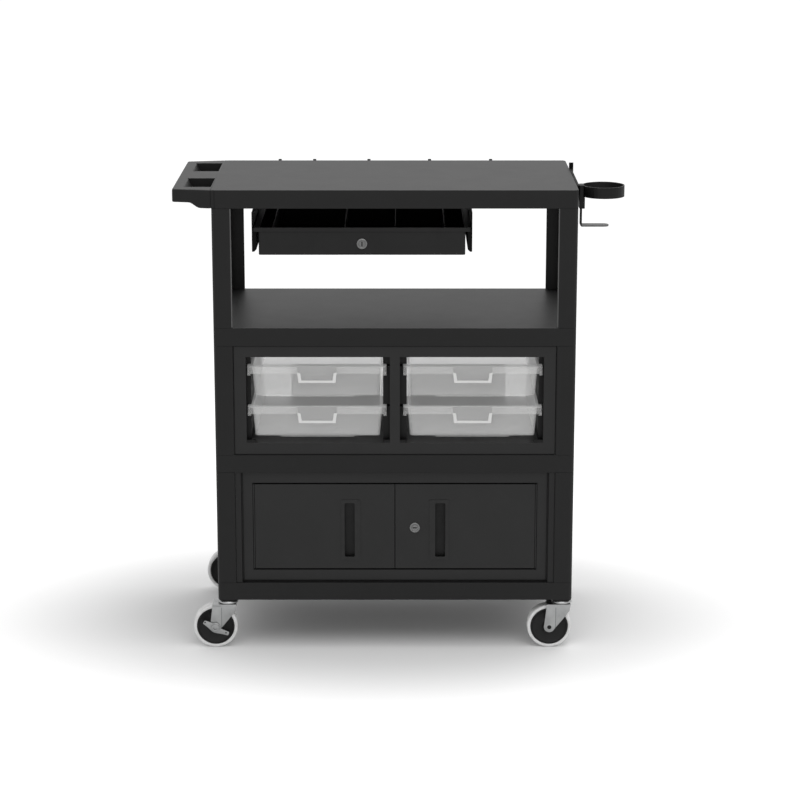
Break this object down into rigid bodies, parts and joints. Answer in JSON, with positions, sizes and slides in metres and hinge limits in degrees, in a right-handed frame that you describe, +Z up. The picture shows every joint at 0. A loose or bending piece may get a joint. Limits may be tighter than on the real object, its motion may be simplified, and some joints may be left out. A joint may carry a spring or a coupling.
{
  "type": "storage cart",
  "caption": "Rolling storage cart with moulded shelves, a hanging lockable drawer, translucent trays, a locking two-door cabinet, a push handle, a cup holder and swivel casters.",
  "frame": {"origin": "on the floor under the centre of the whole cart's bounding box", "axes": "+Z up, -Y towards the front with the doors and trays, +X towards the cup holder, -X towards the push handle"},
  "size_m": [1.0084, 0.4792, 1.0796],
  "materials": {
    "charcoal_plastic": "fine moulded texture",
    "powder_coated_steel": "satin powder coat",
    "black_plastic": "moulded",
    "frosted_tray_plastic": "translucent frosted",
    "zinc_plate": "zinc plated",
    "nickel_plate": "satin nickel",
    "grey_tyre_rubber": "non-marking"
  },
  "bodies": {
    "cart": {"top_shelf": "charcoal_plastic", "push_handle": "charcoal_plastic", "upper_shelf": "charcoal_plastic", "lower_shelf": "charcoal_plastic", "bottom_shelf": "charcoal_plastic", "front_left_upper_leg": "charcoal_plastic", "front_right_upper_leg": "charcoal_plastic", "rear_left_upper_leg": "charcoal_plastic", "rear_right_upper_leg": "charcoal_plastic", "front_left_middle_leg": "charcoal_plastic", "front_right_middle_leg": "charcoal_plastic", "rear_left_middle_leg": "charcoal_plastic", "rear_right_middle_leg": "charcoal_plastic", "front_left_lower_leg": "charcoal_plastic", "front_right_lower_leg": "charcoal_plastic", "rear_left_lower_leg": "charcoal_plastic", "rear_right_lower_leg": "charcoal_plastic", "bin_cabinet": "powder_coated_steel", "rear_panel": "powder_coated_steel", "cabinet_body": "powder_coated_steel", "left_hinge_pin": "powder_coated_steel", "right_hinge_pin": "powder_coated_steel", "left_hanger": "black_plastic", "right_hanger": "black_plastic", "side_rail": "powder_coated_steel", "cup_holder": "black_plastic", "cup_rest": "powder_coated_steel", "hook_rail": "powder_coated_steel", "front_left_caster_stem": "zinc_plate", "front_right_caster_stem": "zinc_plate", "rear_left_caster_stem": "zinc_plate", "rear_right_caster_stem": "zinc_plate"},
    "drawer": {"drawer": "charcoal_plastic", "drawer_lock_barrel": "nickel_plate"},
    "drawer_lock": {"drawer_lock_plug": "nickel_plate"},
    "upper_left_tray": {"upper_left_tray": "frosted_tray_plastic"},
    "upper_right_tray": {"upper_right_tray": "frosted_tray_plastic"},
    "lower_left_tray": {"lower_left_tray": "frosted_tray_plastic"},
    "lower_right_tray": {"lower_right_tray": "frosted_tray_plastic"},
    "left_door": {"left_door": "powder_coated_steel", "left_pull": "black_plastic"},
    "right_door": {"right_door": "powder_coated_steel", "right_pull": "black_plastic", "cabinet_lock_barrel": "nickel_plate"},
    "cabinet_lock": {"cabinet_lock_plug": "nickel_plate"},
    "left_bolt": {"left_door_bolt": "zinc_plate"},
    "front_left_swivel": {"front_left_fork": "zinc_plate"},
    "front_left_wheel": {"front_left_wheel_core": "black_plastic", "front_left_tyre": "grey_tyre_rubber"},
    "front_right_swivel": {"front_right_fork": "zinc_plate"},
    "front_right_wheel": {"front_right_wheel_core": "black_plastic", "front_right_tyre": "grey_tyre_rubber"},
    "rear_left_swivel": {"rear_left_fork": "zinc_plate"},
    "rear_left_wheel": {"rear_left_wheel_core": "black_plastic", "rear_left_tyre": "grey_tyre_rubber"},
    "rear_right_swivel": {"rear_right_fork": "zinc_plate"},
    "rear_right_wheel": {"rear_right_wheel_core": "black_plastic", "rear_right_tyre": "grey_tyre_rubber"},
    "front_left_brake": {"front_left_brake_lever": "zinc_plate"},
    "rear_left_brake": {"rear_left_brake_lever": "zinc_plate"}
  },
  "joints": [
    {"name": "drawer_slide", "type": "slide", "parent": "cart", "child": "drawer", "axis": [0, -1, 0], "range_m": [0, 0.3]},
    {"name": "drawer_lock_turn", "type": "hinge", "parent": "drawer", "child": "drawer_lock", "pos_m": [-0.08335, -0.2307, 0.947], "axis": [0, 1, 0], "range_deg": [0, 90]},
    {"name": "upper_left_tray_slide", "type": "slide", "parent": "cart", "child": "upper_left_tray", "axis": [0, -1, 0], "range_m": [0, 0.3]},
    {"name": "upper_right_tray_slide", "type": "slide", "parent": "cart", "child": "upper_right_tray", "axis": [0, -1, 0], "range_m": [0, 0.3]},
    {"name": "lower_left_tray_slide", "type": "slide", "parent": "cart", "child": "lower_left_tray", "axis": [0, -1, 0], "range_m": [0, 0.3]},
    {"name": "lower_right_tray_slide", "type": "slide", "parent": "cart", "child": "lower_right_tray", "axis": [0, -1, 0], "range_m": [0, 0.3]},
    {"name": "left_door_hinge", "type": "hinge", "parent": "cart", "child": "left_door", "pos_m": [-0.33255, -0.2212, 0.29015], "axis": [0, 0, -1], "range_deg": [0, 105]},
    {"name": "right_door_hinge", "type": "hinge", "parent": "cart", "child": "right_door", "pos_m": [0.31145, -0.2212, 0.29015], "axis": [0, 0, 1], "range_deg": [0, 105]},
    {"name": "cabinet_lock_turn", "type": "hinge", "parent": "right_door", "child": "cabinet_lock", "pos_m": [0.03485, -0.2227, 0.28745], "axis": [0, 1, 0], "range_deg": [0, 90]},
    {"name": "left_bolt_slide", "type": "slide", "parent": "left_door", "child": "left_bolt", "axis": [0, 0, 1], "range_m": [0, 0.012]},
    {"name": "front_left_swivel_turn", "type": "hinge", "parent": "cart", "child": "front_left_swivel", "pos_m": [-0.3954, -0.21105, 0.0508], "axis": [0, 0, 1], "continuous": true},
    {"name": "front_left_wheel_spin", "type": "hinge", "parent": "front_left_swivel", "child": "front_left_wheel", "pos_m": [-0.4244, -0.21105, 0.0508], "axis": [0, 1, 0], "continuous": true},
    {"name": "front_right_swivel_turn", "type": "hinge", "parent": "cart", "child": "front_right_swivel", "pos_m": [0.3743, -0.21105, 0.0508], "axis": [0, 0, 1], "continuous": true},
    {"name": "front_right_wheel_spin", "type": "hinge", "parent": "front_right_swivel", "child": "front_right_wheel", "pos_m": [0.3453, -0.21105, 0.0508], "axis": [0, 1, 0], "continuous": true},
    {"name": "rear_left_swivel_turn", "type": "hinge", "parent": "cart", "child": "rear_left_swivel", "pos_m": [-0.3954, 0.20265, 0.0508], "axis": [0, 0, 1], "continuous": true},
    {"name": "rear_left_wheel_spin", "type": "hinge", "parent": "rear_left_swivel", "child": "rear_left_wheel", "pos_m": [-0.4244, 0.20265, 0.0508], "axis": [0, 1, 0], "continuous": true},
    {"name": "rear_right_swivel_turn", "type": "hinge", "parent": "cart", "child": "rear_right_swivel", "pos_m": [0.3743, 0.20265, 0.0508], "axis": [0, 0, 1], "continuous": true},
    {"name": "rear_right_wheel_spin", "type": "hinge", "parent": "rear_right_swivel", "child": "rear_right_wheel", "pos_m": [0.3453, 0.20265, 0.0508], "axis": [0, 1, 0], "continuous": true},
    {"name": "front_left_brake_press", "type": "hinge", "parent": "front_left_swivel", "child": "front_left_brake", "pos_m": [-0.4244, -0.21105, 0.0508], "axis": [0, -1, 0], "range_deg": [0, 30]},
    {"name": "rear_left_brake_press", "type": "hinge", "parent": "rear_left_swivel", "child": "rear_left_brake", "pos_m": [-0.4244, 0.20265, 0.0508], "axis": [0, -1, 0], "range_deg": [0, 30]}
  ]
}
